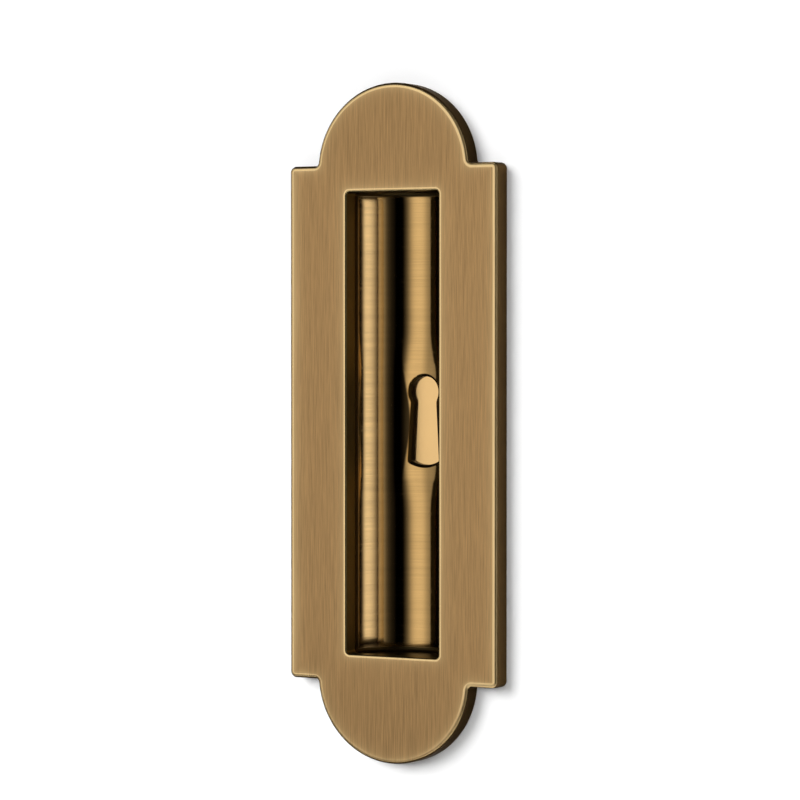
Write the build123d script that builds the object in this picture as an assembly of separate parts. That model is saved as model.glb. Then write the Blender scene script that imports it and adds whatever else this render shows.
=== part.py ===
from build123d import *
import os

# Flush pull with a half-round finger pocket and a keyhole in the pocket's floor.
# +Z is up the door, +X to the right as seen from the front, and the front faces -Y.
# The origin is the middle of the face plate's back face, which lies against the door.

# Face plate: a straight-sided plate with a half-round arch on each end.
plate_height = 178.0
plate_width = 62.0
plate_thickness = 5.3
arch_radius = 22.5
arch_rise = 21.25
shoulder_corner_radius = 1.1
arch_foot_radius = 1.0
plate_edge_radius = 1.0

# Opening in the face plate.
opening_width = 27.6
opening_end_margin = 6.95
opening_corner_radius = 1.0
opening_edge_radius = 0.5
opening_back_bevel = 0.6

# Pocket: a half-round trough with flat ends, hung from a flange behind the plate.
trough_side_setback = 0.9
trough_end_setback = 0.4
trough_axis_depth = -1.6
pocket_wall = 3.0
pocket_end_wall = 3.0
floor_end_radius = 1.3
outer_end_radius = 1.5
flange_thickness = 2.0
flange_side_rim = 5.3
flange_end_rim = 1.8
flange_corner_radius = 3.0

# Landing: the trough's floor rises to a nearly flat crown round the keyhole.
landing_rise = 0.5
landing_length = 48.0

# Keyhole: a round head over a slot that widens downwards to a bowed foot, bevelled at the front.
key_head_radius = 4.1
key_head_height = 8.1
key_waist_width = 6.4
key_foot_width = 8.5
key_foot_height = -10.2
key_foot_bow = 1.15
key_waist_radius = 3.0
key_foot_radius = 0.3
key_bevel = 0.75
key_wall = 1.6

# Backing plate that closes the keyhole, let into a boss on the pocket's back.
backing_side_land = 8.25
backing_end_land = 7.75
backing_thickness = 2.0
backing_corner_radius = 2.0
backing_clearance = 0.15
backing_bevel = 0.3
boss_rim = 1.85
boss_proud = 0.5
boss_edge_radius = 0.8

# Countersunk slotted screws, the same head on the flange and on the backing plate.
screw_radius = 1.25
screw_head_radius = 2.35
screw_head_height = 1.1
screw_head_inset = 0.1
screw_slot_width = 0.6
screw_slot_depth = 0.5
screw_tip_bevel = 0.3
screw_hole_clearance = 0.15
screw_hole_runout = 0.3
flange_screw_grip = 2.8
flange_screw_end_inset = 18.0
backing_screw_grip = 1.7
backing_screw_side_inset = 3.0

# Studs that pass through the door, each with a thinner spigot set in the plate.
stud_radius = 2.0
stud_spigot_radius = 1.5
stud_spigot_length = 3.5
stud_reach = 16.0
stud_end_inset = 12.0
stud_tip_bevel = 0.6

# Sizes that follow from those above.
shoulder_height = plate_height - 2 * arch_rise
arch_centre_height = plate_height / 2 - arch_radius
opening_height = shoulder_height - 2 * opening_end_margin
trough_radius = opening_width / 2 + trough_side_setback
trough_length = opening_height + 2 * trough_end_setback
trough_floor_y = trough_axis_depth + trough_radius
shell_radius = trough_radius + pocket_wall
shell_length = trough_length + 2 * pocket_end_wall
flange_width = 2 * (shell_radius + flange_side_rim)
flange_height = shell_length + 2 * flange_end_rim
landing_y = trough_floor_y - landing_rise
landing_radius = (landing_length / 2) ** 2 / (2 * landing_rise)
key_top = key_head_height + key_head_radius
key_bottom = key_foot_height - key_foot_bow
backing_width = key_foot_width + 2 * backing_side_land
backing_height = key_top - key_bottom + 2 * backing_end_land
backing_mid_height = (key_top + key_bottom) / 2
backing_seat_y = landing_y + key_wall
backing_back_y = backing_seat_y + backing_thickness
boss_back_y = max(trough_axis_depth + shell_radius, backing_back_y) + boss_proud
flange_screw_across = 2 * (shell_radius + flange_side_rim / 2)
flange_screw_along = flange_height - 2 * flange_screw_end_inset
flange_screw_length = flange_thickness - screw_head_inset + flange_screw_grip
backing_screw_across = backing_width - 2 * backing_screw_side_inset
backing_screw_length = backing_thickness - screw_head_inset + backing_screw_grip
stud_spacing = plate_height - 2 * stud_end_inset
overshoot = 2 * plate_thickness


def facing(depth):
    """Plane parallel to the face plate at y = depth, whose normal points at the viewer."""
    return Plane.XZ.offset(-depth)


def slab(outline, front_y, back_y):
    """Solid with the given front outline between two depths."""
    return extrude(facing(back_y) * outline, back_y - front_y)


def corners(outline, width, height):
    """Vertices of an outline at the four points (+-width/2, +-height/2)."""
    return [
        v
        for v in outline.vertices()
        if abs(abs(v.X) - width / 2) < 0.01 and abs(abs(v.Y) - height / 2) < 0.01
    ]


def half_round(radius, length, end_radius):
    """Upright prism, straight-sided from before the face plate to the trough's axis, then round."""
    axis_y = trough_axis_depth
    front_y = axis_y - overshoot
    section = make_face(
        Line((-radius, front_y), (radius, front_y))
        + Line((radius, front_y), (radius, axis_y))
        + ThreePointArc((radius, axis_y), (0, axis_y + radius), (-radius, axis_y))
        + Line((-radius, axis_y), (-radius, front_y))
    )
    prism = extrude(section, length / 2, both=True)
    end_edges = [
        e
        for e in prism.edges()
        if abs(abs(e.center().Z) - length / 2) < 0.01 and e.center().Y > front_y + 0.01
    ]
    return fillet(end_edges, end_radius)


def round_bar(radius, length):
    """Straight round bar, or the cut for one, from y = -length to y = 0."""
    return Rot(X=90) * Cylinder(radius, length, align=(Align.CENTER, Align.CENTER, Align.MIN))


def countersink():
    """Cone of the screw's head, widest at its flat top in the plane y = 0."""
    cone = Cone(
        screw_radius,
        screw_head_radius,
        screw_head_height,
        align=(Align.CENTER, Align.CENTER, Align.MAX),
    )
    return Rot(X=-90) * cone


def screw(length):
    """Countersunk slotted screw, its head's flat top in the plane y = 0, its tip towards -Y."""
    shank = round_bar(screw_radius, length)
    tip = shank.edges().sort_by(Axis.Y)[0]
    body = chamfer(tip, screw_tip_bevel) + countersink()
    slot = Box(
        2 * screw_head_radius + 1,
        screw_slot_depth,
        screw_slot_width,
        align=(Align.CENTER, Align.MAX, Align.CENTER),
    )
    return body - slot


def screw_hole(sheet):
    """Countersunk clearance hole through a sheet of the given thickness whose back is y = 0."""
    top = round_bar(screw_head_radius, screw_head_inset)
    seat = Pos(0, -screw_head_inset, 0) * countersink()
    return top + seat + round_bar(screw_radius + screw_hole_clearance, sheet + 1)


def tapped_hole(grip):
    """Blind hole from y = 0 for a screw that reaches in by the given grip."""
    return round_bar(screw_radius, grip + screw_hole_runout)


def flange_screw_places():
    """Places of the flange screws, seen from the front."""
    return GridLocations(flange_screw_across, flange_screw_along, 2, 2)


def backing_screw_places():
    """Places of the backing plate's two screws, seen from the front."""
    return [Pos(side * backing_screw_across / 2, backing_mid_height) for side in (-1, 1)]


def stud_places():
    """Places of the upper and the lower stud, seen from the front."""
    return [Pos(0, side * stud_spacing / 2) for side in (1, -1)]


def at_depth(place, depth):
    """Location at y = depth of a place that is given in the front view."""
    return Pos(place.position.X, depth, place.position.Y)


def face_plate():
    outline = Rectangle(plate_width, shoulder_height)
    for height in (arch_centre_height, -arch_centre_height):
        outline += Pos(0, height) * Circle(arch_radius)
    foot_offset = shoulder_height / 2 - arch_centre_height
    foot_spacing = 2 * (arch_radius**2 - foot_offset**2) ** 0.5
    outline = fillet(corners(outline, plate_width, shoulder_height), shoulder_corner_radius)
    outline = fillet(corners(outline, foot_spacing, shoulder_height), arch_foot_radius)
    opening = RectangleRounded(opening_width, opening_height, opening_corner_radius)
    plate = slab(outline - opening, -plate_thickness, 0)
    front = plate.faces().sort_by(Axis.Y)[0]
    plate = fillet(front.outer_wire().edges(), plate_edge_radius)
    front = plate.faces().sort_by(Axis.Y)[0]
    plate = fillet(front.inner_wires()[0].edges(), opening_edge_radius)
    back = plate.faces().sort_by(Axis.Y)[-1]
    plate = chamfer(back.inner_wires()[0].edges(), opening_back_bevel)
    for place in flange_screw_places():
        plate -= at_depth(place, 0) * tapped_hole(flange_screw_grip)
    for place in stud_places():
        plate -= at_depth(place, 0) * round_bar(stud_spigot_radius, stud_spigot_length)
    return plate


def keyhole():
    """Front outline of the keyhole."""
    waist = key_waist_width / 2
    foot = key_foot_width / 2
    slot = make_face(
        Line((-waist, key_head_height), (-foot, key_foot_height))
        + ThreePointArc((-foot, key_foot_height), (0, key_bottom), (foot, key_foot_height))
        + Line((foot, key_foot_height), (waist, key_head_height))
        + Line((waist, key_head_height), (-waist, key_head_height))
    )
    outline = Pos(0, key_head_height) * Circle(key_head_radius) + slot
    foot_corners = [v for v in outline.vertices() if abs(v.Y - key_foot_height) < 0.01]
    outline = fillet(foot_corners, key_foot_radius)
    waist_corners = [
        v for v in outline.vertices() if 0 < v.Y < key_head_height and abs(v.X) > waist * 0.9
    ]
    return fillet(waist_corners, key_waist_radius)


def keyhole_bevel():
    """Cut for the bevel at the landing, straight in front of it where the trough's sides rise."""
    mouth = offset(keyhole(), key_bevel)
    bevel_back = landing_y + key_bevel
    bevel = loft([facing(landing_y) * mouth, facing(bevel_back) * keyhole()])
    return slab(mouth, trough_axis_depth, landing_y) + bevel


def backing_outline(margin):
    """Front outline of the backing plate, grown by a margin all round."""
    outline = RectangleRounded(
        backing_width + 2 * margin,
        backing_height + 2 * margin,
        backing_corner_radius + margin,
    )
    return Pos(0, backing_mid_height) * outline


def pocket():
    shell = half_round(shell_radius, shell_length, outer_end_radius)
    shell = split(shell, bisect_by=Plane.XZ, keep=Keep.BOTTOM)
    flange = RectangleRounded(flange_width, flange_height, flange_corner_radius)
    boss = slab(backing_outline(backing_clearance + boss_rim), 0, boss_back_y)
    boss_back = boss.faces().sort_by(Axis.Y)[-1]
    boss = fillet(boss_back.edges(), boss_edge_radius)
    body = shell + slab(flange, 0, flange_thickness) + boss
    crown = Rot(Y=90) * Cylinder(landing_radius, 2 * shell_radius)
    hollow = half_round(trough_radius, trough_length, floor_end_radius)
    hollow -= Pos(0, landing_y + landing_radius, 0) * crown
    body -= hollow
    body -= slab(backing_outline(backing_clearance), backing_seat_y, boss_back_y + overshoot)
    body -= slab(keyhole(), trough_axis_depth, backing_seat_y)
    body -= keyhole_bevel()
    for place in flange_screw_places():
        body -= at_depth(place, flange_thickness) * screw_hole(flange_thickness)
    for place in backing_screw_places():
        body -= at_depth(place, backing_seat_y) * tapped_hole(backing_screw_grip)
    return body


def keyhole_backing():
    plate = slab(backing_outline(0), backing_seat_y, backing_back_y)
    back = plate.faces().sort_by(Axis.Y)[-1]
    plate = chamfer(back.edges(), backing_bevel)
    for place in backing_screw_places():
        plate -= at_depth(place, backing_back_y) * screw_hole(backing_thickness)
    return plate


def fixing_stud():
    """Stud along +Y from its shoulder at y = 0, with its thinner spigot towards -Y."""
    rod = Pos(0, stud_reach, 0) * round_bar(stud_radius, stud_reach)
    tip = rod.edges().filter_by(GeomType.CIRCLE).sort_by(Axis.Y)[-1]
    return chamfer(tip, stud_tip_bevel) + round_bar(stud_spigot_radius, stud_spigot_length)


def build_parts():
    parts = {
        "face_plate": face_plate(),
        "pocket": pocket(),
        "keyhole_backing": keyhole_backing(),
    }
    for number, place in enumerate(flange_screw_places(), start=1):
        head = at_depth(place, flange_thickness - screw_head_inset)
        parts[f"flange_screw_{number}"] = head * screw(flange_screw_length)
    for side, place in zip(("left", "right"), backing_screw_places()):
        head = at_depth(place, backing_back_y - screw_head_inset)
        parts[f"backing_screw_{side}"] = head * screw(backing_screw_length)
    for end, place in zip(("top", "bottom"), stud_places()):
        parts[f"fixing_stud_{end}"] = at_depth(place, 0) * fixing_stud()
    return parts


os.makedirs("parts", exist_ok=True)
for node, solid in build_parts().items():
    export_step(solid, f"parts/{node}.step")
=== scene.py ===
"""Brass flush pull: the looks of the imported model, laid out as an add-on and run as a script."""
import math

import bmesh
import bpy
import numpy as np
from bpy.props import FloatProperty, FloatVectorProperty, PointerProperty
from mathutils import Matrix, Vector


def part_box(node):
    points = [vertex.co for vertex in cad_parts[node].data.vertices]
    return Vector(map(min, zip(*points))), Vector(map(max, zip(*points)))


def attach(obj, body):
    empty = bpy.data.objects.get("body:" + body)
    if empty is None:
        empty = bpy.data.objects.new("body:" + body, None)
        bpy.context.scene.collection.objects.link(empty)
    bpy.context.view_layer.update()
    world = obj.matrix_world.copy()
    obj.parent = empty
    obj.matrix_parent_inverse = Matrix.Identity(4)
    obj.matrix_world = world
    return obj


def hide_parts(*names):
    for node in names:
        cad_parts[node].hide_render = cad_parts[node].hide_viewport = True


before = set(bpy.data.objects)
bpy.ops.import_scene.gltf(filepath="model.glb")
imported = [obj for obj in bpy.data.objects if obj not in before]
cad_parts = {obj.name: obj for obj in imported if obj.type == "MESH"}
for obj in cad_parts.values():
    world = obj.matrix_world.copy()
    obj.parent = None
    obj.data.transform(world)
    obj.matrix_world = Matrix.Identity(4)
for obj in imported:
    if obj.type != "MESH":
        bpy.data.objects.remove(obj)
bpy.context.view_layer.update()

bl_info = {
    "name": "Flush Pull",
    "version": (1, 0, 0),
    "blender": (4, 5, 0),
    "location": "View3D > Sidebar > Flush Pull",
    "description": "Brass flush pull with a half-round finger pocket and a keyhole",
    "category": "Object",
}

MM = 0.001
BODY = "root"
PLATE_LOW, PLATE_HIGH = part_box("face_plate")
POCKET_LOW, POCKET_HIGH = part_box("pocket")
BACKING_LOW, BACKING_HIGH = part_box("keyhole_backing")
BACKING_MIDDLE = (BACKING_HIGH.z + BACKING_LOW.z) / 2

# Points of the meshes: on the ends and sides of a loop, of a side that share an end's fillet, over
# a rounded edge, round a turned piece, and rows for each turn of a thread.
END_POINTS = 41
SIDE_POINTS = 61
CORNER_POINTS = 4
FILLET_STEPS = np.linspace(0.0, 1.0, 9)
FILLET_TURNS = np.radians(90.0) * FILLET_STEPS
CIRCLE_TURNS = np.linspace(0.0, 2 * math.pi, 48, endpoint=False)
THREAD_ROWS = 8
FLIP_X = np.array([-1.0, 1.0])
FLIP_Z = np.array([1.0, -1.0])

# Rings of the trough and of its shell: half sides of the first rectangle, across as a share of the
# section and along as a length, then the shares at the floor's end and at the fillet's end.
FLOOR_RINGS = {
    "across": 0.33,
    "along": 16.0 * MM,
    "floor_across": 0.93,
    "fillet_across": 0.965,
    "count": 19,
}
SHELL_RINGS = {
    "across": 0.78,
    "along": 26.0 * MM,
    "floor_across": 0.96,
    "fillet_across": 0.98,
    "count": 9,
}
# Where further rings lie between two loops, as shares of the way, and how much of the growth over
# an end fillet its first ring has already.
FACE_RINGS = np.linspace(0.0, 1.0, 5)
BEVEL_RINGS = (0.1, 0.9)
INNER_RINGS = (0.1, 0.3, 0.55, 0.8)
WALL_RINGS = (0.1, 0.4, 0.7, 1.0)
FILLET_START = 0.15

# Angles in degrees: edges that turn by more than a crease are shaded sharp. The top line of the
# keyhole's loop ends on the round head, HEAD_CORNER above the level of its centre.
CREASE = 35.0
POCKET_CREASE = 20.0
THREAD_CREASE = 50.0
HEAD_CORNER = 40.0

# Fits between the pieces, and the strip that keeps a flat beside a rounded edge.
EDGE_SUPPORT = 0.1 * MM
FLANGE_BEVEL = 0.2 * MM
RECESS_CLEARANCE = 0.15 * MM
RECESS_RADIUS = 2.15 * MM
BOSS_RIM = 1.85 * MM
BOSS_EDGE = 0.8 * MM
HEAD_CLEARANCE = 0.05 * MM
HEAD_CONE = 1.1 * MM
FLANGE_SCREWS = [f"flange_screw_{number}" for number in range(1, 5)]

# Noise of the finishes, in cells per metre along X, Y and Z.
FINE_BRUSHING = (4800.0, 4800.0, 120.0)
BROAD_BRUSHING = (1100.0, 1100.0, 50.0)
TINT_BRUSHING = (3200.0, 3200.0, 80.0)
FACE_PATCHES = (55.0, 55.0, 30.0)
TURNED_LINES = (40.0, 40.0, 3200.0)
TURNED_BANDS = (25.0, 25.0, 420.0)
POCKET_PATCHES = (90.0, 90.0, 60.0)
SCRATCHES = (120.0, 120.0, 1500.0)
SATIN_GRAIN = (2600.0, 2600.0, 2600.0)
SATIN_PATCHES = (120.0, 120.0, 120.0)

# Colour of the plate's reflections at glancing angles.
SPECULAR_TINT = (0.6, 0.55, 0.5)

# Share of the edge line, wear and painted highlight, that is left at the plate's foot, where painted
# shade dims it, and the line where the painted shade beside the keyhole begins: its distance from the
# middle, its bow towards the keyhole and the bow's length.
EDGE_LINE_AT_SHADED_FOOT = 0.35
SHADE_LINE = 6.5 * MM
SHADE_BOW = 2.5 * MM
SHADE_BOW_LENGTH = 12.0 * MM

# Where the finishes, the painted highlight and the painted shade change: none at the first length and
# all at the second.
RIGHT_HALF = (5.0 * MM, 20.0 * MM)
LEFT_BORDER = (-24.0 * MM, -29.0 * MM)
OUTLINE_BAND = (6.0 * MM, 3.0 * MM)
OPENING_BAND = (1.0 * MM, 0.7 * MM)
ARCH_HEIGHT = (50.0 * MM, 85.0 * MM)
WALL_DEPTH = (0.08 * MM, 0.18 * MM)
RUBBED_DEPTH = (0.2 * MM, 0.5 * MM)
BEHIND_FLOOR = (0.06 * MM, 0.14 * MM)
LEFT_LIP = (2.0 * MM, -2.0 * MM)
RIGHT_FLANK = (4.0 * MM, 9.0 * MM)
LEFT_FLANK = (-10.0 * MM, -12.5 * MM)
SHADE_STREAK_SPREAD = (4.0 * MM, 1.2 * MM)
SHADE_START = (-0.3 * MM, 0.5 * MM)
SHADE_END = (8.5 * MM, 7.0 * MM)
SHADE_LENGTH = (21.0 * MM, 14.0 * MM)

# Stage, with the suns' spread, azimuth and elevation in degrees, and the heights over which the
# tent fades as shares of its radius.
WALL_GAP = 0.1 * MM
HOLE_INSET = 0.8 * MM
WALL_REACH = 1.3
FLOOR_Z = -1.0
FLOOR_REACH = 3.0
WALL_PAINT = (0.93, 0.93, 0.93)
FLOOR_PAINT = (0.85, 0.85, 0.84)
WALL_SUN = (40.0, -29.0, 22.0)
FILL_SUN = (24.0, 8.0, 12.0)
TENT_RADIUS = 1.6
TENT_TOP = 85.0
TENT_EDGE_LEVEL = 0.06
TENT_FADE_UP = (0.78, 0.48)
TENT_FADE_DOWN = (-0.62, -0.12)
# Brightness of the light tent by azimuth in degrees: a wide softbox left of the middle, a narrow
# one at the far left, and a dimmer one at the far right.
TENT_LEVELS = (
    (-90.0, 0.05),
    (-78.0, 0.30),
    (-66.0, 0.72),
    (-57.5, 0.15),
    (-48.0, 0.50),
    (-38.0, 0.73),
    (-24.0, 0.96),
    (-12.0, 1.00),
    (-5.0, 0.90),
    (0.0, 0.72),
    (4.5, 0.46),
    (9.0, 0.22),
    (12.0, 0.12),
    (15.5, 0.045),
    (19.0, 0.004),
    (22.0, 0.0),
    (34.0, 0.0),
    (44.0, 0.022),
    (50.0, 0.058),
    (54.5, 0.13),
    (58.5, 0.30),
    (74.0, 0.40),
    (90.0, 0.40),
)


def millimetres(label, description, default):
    """Length property whose default is given in millimetres."""
    return FloatProperty(name=label, description=description, default=default * MM, unit="LENGTH")


def colour(label, description, default):
    """Linear colour property."""
    return FloatVectorProperty(
        name=label,
        description=description,
        default=default,
        size=3,
        subtype="COLOR",
        min=0.0,
        max=1.0,
    )


def factor(label, description, default):
    """Number property from 0 to 1."""
    return FloatProperty(
        name=label, description=description, default=default, min=0.0, max=1.0, subtype="FACTOR"
    )


def angle(label, description, default):
    """Angle property whose default is given in degrees."""
    return FloatProperty(
        name=label, description=description, default=math.radians(default), subtype="ANGLE"
    )


class PlateSettings(bpy.types.PropertyGroup):
    """Sizes and finish of the face plate"""

    height: millimetres("Height", "Overall height", 178.0)
    arch_radius: millimetres("Arch radius", "Radius of the half-round arch on each end", 22.5)
    arch_rise: millimetres("Arch rise", "Height of each arch above the shoulders", 21.25)
    shoulder_radius: millimetres("Shoulder radius", "Rounding of the shoulder corners", 1.7)
    foot_radius: millimetres("Foot radius", "Hollow rounding where an arch meets a shoulder", 1.0)
    edge_radius: millimetres("Edge radius", "Rounding of the front's outer edge", 1.0)
    opening_width: millimetres("Opening width", "Width of the opening", 27.6)
    opening_margin: millimetres("Opening margin", "Shoulder to the opening's end", 6.95)
    opening_radius: millimetres("Opening radius", "Corner radius of the opening", 1.0)
    opening_edge: millimetres("Opening edge", "Rounding of the opening's front edge", 0.5)
    opening_bevel: millimetres("Opening bevel", "Bevel of the opening's back edge", 0.6)
    face_colour: colour("Face", "Brushed face", (0.502, 0.301, 0.127))
    streak_colour: colour("Streaks", "Second tone of the brushed face", (0.465, 0.280, 0.117))
    # This colour is wear and painted highlight: the edge line and the painted glow beside the edges
    # take it.
    wear_and_highlight_colour: colour("Worn", "Bare brass on the worn edges", (0.92, 0.66, 0.32))
    rubbed_colour: colour("Rubbed wall", "Right wall of the opening, rubbed bright", (0.86, 0.70, 0.44))
    # On the walls of the arches and shoulders this patina is darkened further as painted shade.
    patina_and_shade_colour: colour("Patina", "Dark patina on the outer walls", (0.105, 0.062, 0.024))
    inner_colour: colour("Inner patina", "Patina on the opening's walls", (0.19, 0.17, 0.085))
    back_colour: colour("Back", "Plain brass of the back", (0.46, 0.30, 0.13))
    roughness: factor("Roughness", "Roughness of the brushed face", 0.40)
    worn_roughness: factor("Worn roughness", "Roughness of the worn edges", 0.22)
    # Width of the edge line, which is wear and painted highlight, and how far the painted glow spreads
    # onto the face.
    bare_and_highlight_width: millimetres("Bare width", "Width of the bare line along the edges", 0.40)
    wear_and_highlight_width: millimetres("Worn width", "Width over which an edge's wear fades", 0.45)


class PocketSettings(bpy.types.PropertyGroup):
    """Sizes and finish of the pocket"""

    axis_depth: millimetres("Axis depth", "Depth of the trough's axis behind the plate", -1.6)
    side_setback: millimetres("Side setback", "Trough beyond the opening's sides", 0.9)
    end_setback: millimetres("End setback", "Trough beyond the opening's ends", 0.4)
    wall: millimetres("Wall", "Wall thickness", 3.0)
    floor_radius: millimetres("Floor radius", "Rounding of the trough's ends", 1.3)
    outer_radius: millimetres("Outer radius", "Rounding of the shell's ends", 1.5)
    flange_thickness: millimetres("Flange", "Thickness of the flange", 2.0)
    flange_radius: millimetres("Flange radius", "Corner radius of the flange", 3.0)
    landing_rise: millimetres("Landing rise", "Rise of the floor round the keyhole", 0.7)
    landing_reach: millimetres("Landing reach", "Half length of the raised landing", 24.0)
    landing_ramp: millimetres("Landing ramp", "Length over which the landing rises", 14.0)
    landing_width: millimetres("Landing width", "Half width of the raised landing", 5.0)
    floor_colour: colour("Floor", "Polished floor", (0.62, 0.385, 0.145))
    # The sides' paler, brighter colour is polish and painted highlight: it gives them the pale tone of
    # their bright reflection.
    side_colour: colour("Sides", "Bright polished sides", (0.85, 0.69, 0.455))
    # The pocket's patina colour is also painted shade: on the left lip behind the mouth, over the
    # trough's ends and on the keyhole's bevel and walls.
    patina_and_shade_colour: colour("Patina", "Dark patina on lips, ends and back", (0.055, 0.037, 0.014))
    lip: millimetres("Lip", "Depth of the dark lip behind the mouth", 2.5)
    # The darker streak along the floor is painted shade.
    shade_streak_place: millimetres("Tarnish", "Middle of the dull streak along the floor", 2.6)
    roughness: factor("Roughness", "Roughness of the polished trough", 0.08)


class KeyholeSettings(bpy.types.PropertyGroup):
    """Sizes of the keyhole and the finish of the plate behind it"""

    head_radius: millimetres("Head radius", "Radius of the round head", 4.1)
    head_height: millimetres("Head height", "Height of the head's centre", 8.1)
    waist_width: millimetres("Waist width", "Width of the slot at the head", 6.4)
    waist_radius: millimetres("Waist radius", "Rounding between head and slot", 3.0)
    foot_width: millimetres("Foot width", "Width of the slot at its foot", 8.5)
    foot_height: millimetres("Foot height", "Height of the foot's corners", -10.2)
    foot_bow: millimetres("Foot bow", "Bow of the foot below its corners", 1.15)
    foot_radius: millimetres("Foot radius", "Rounding of the foot's corners", 0.3)
    bevel: millimetres("Bevel", "Bevel of the keyhole's front edge", 0.75)
    backing_colour: colour("Backing", "Satin plate behind the keyhole", (0.90, 0.58, 0.25))
    backing_roughness: factor("Backing roughness", "Roughness of the plate behind", 0.18)


class FixingSettings(bpy.types.PropertyGroup):
    """Sizes of the studs and the finish of studs and screws"""

    spigot_radius: millimetres("Spigot radius", "Radius of the stud in the plate", 1.5)
    plain_length: millimetres("Plain length", "Unthreaded length next to the plate", 1.5)
    pitch: millimetres("Pitch", "Pitch of the thread", 0.7)
    thread_depth: millimetres("Thread depth", "Depth of the thread", 0.4)
    tip_bevel: millimetres("Tip bevel", "Bevel of the stud's tip", 0.6)
    steel_colour: colour("Steel", "Turned steel of the studs", (0.56, 0.55, 0.52))
    steel_roughness: factor("Steel roughness", "Roughness of the studs", 0.28)
    screw_colour: colour("Screws", "Brass of the screws", (0.66, 0.46, 0.21))
    screw_roughness: factor("Screw roughness", "Roughness of the screws", 0.30)


class StageSettings(bpy.types.PropertyGroup):
    """Camera and lights"""

    azimuth: angle("Azimuth", "Camera's angle to the right of the face", 29.0)
    elevation: angle("Elevation", "Camera's angle above the face's middle", 1.2755)
    distance: FloatProperty(
        name="Distance", description="Camera to target", default=0.9087, unit="LENGTH"
    )
    target_x: millimetres("Target X", "Point of the face in the picture's middle", 2.46)
    target_z: millimetres("Target Z", "Point of the face in the picture's middle", 6.30)
    lens: FloatProperty(
        name="Lens", description="Focal length on a 36 mm sensor", default=156.9, unit="CAMERA"
    )
    tent_level: FloatProperty(
        name="Tent", description="Brightness of the light tent", default=1.05, min=0.0
    )
    wall_sun: FloatProperty(
        name="Wall sun", description="Strength of the sun on wall and floor", default=2.73, min=0.0
    )
    fill_sun: FloatProperty(
        name="Fill sun", description="Strength of the fill on wall and floor", default=0.8, min=0.0
    )
    ambient: factor("Ambient", "Brightness of the room for diffuse light", 0.09)


class FlushPullSettings(bpy.types.PropertyGroup):
    """One group of settings for each piece or group of pieces"""

    plate: PointerProperty(type=PlateSettings)
    pocket: PointerProperty(type=PocketSettings)
    keyhole: PointerProperty(type=KeyholeSettings)
    fixing: PointerProperty(type=FixingSettings)
    stage: PointerProperty(type=StageSettings)


def settings():
    """The scene's settings."""
    return bpy.context.scene.flush_pull


class Signal:
    """A number on a shader socket: maths on it reads as an expression and adds Math nodes."""

    def __init__(self, recipe, socket):
        self.recipe = recipe
        self.socket = socket

    def __add__(self, other):
        return self.recipe.maths("ADD", self, other)

    def __radd__(self, other):
        return self.recipe.maths("ADD", other, self)

    def __sub__(self, other):
        return self.recipe.maths("SUBTRACT", self, other)

    def __rsub__(self, other):
        return self.recipe.maths("SUBTRACT", other, self)

    def __mul__(self, other):
        return self.recipe.maths("MULTIPLY", self, other)

    def __rmul__(self, other):
        return self.recipe.maths("MULTIPLY", other, self)

    def __truediv__(self, other):
        return self.recipe.maths("DIVIDE", self, other)

    def __rtruediv__(self, other):
        return self.recipe.maths("DIVIDE", other, self)

    def __neg__(self):
        return 0.0 - self

    def __abs__(self):
        return self.recipe.maths("ABSOLUTE", self)

    def fade(self, reach):
        """e to the power of minus self over reach, 1 where self is below 0."""
        return self.recipe.maths("POWER", math.e, -self.most(0.0) / reach)

    def power(self, other):
        return self.recipe.maths("POWER", self, other)

    def least(self, other):
        return self.recipe.maths("MINIMUM", self, other)

    def most(self, other):
        return self.recipe.maths("MAXIMUM", self, other)

    def ramp(self, low, high):
        """0 below low, 1 above high and a smooth step between, or the other way round."""
        return self.recipe.value(
            "ShaderNodeMapRange",
            {"interpolation_type": "SMOOTHSTEP"},
            {"Value": self, "From Min": low, "From Max": high},
        )


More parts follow.
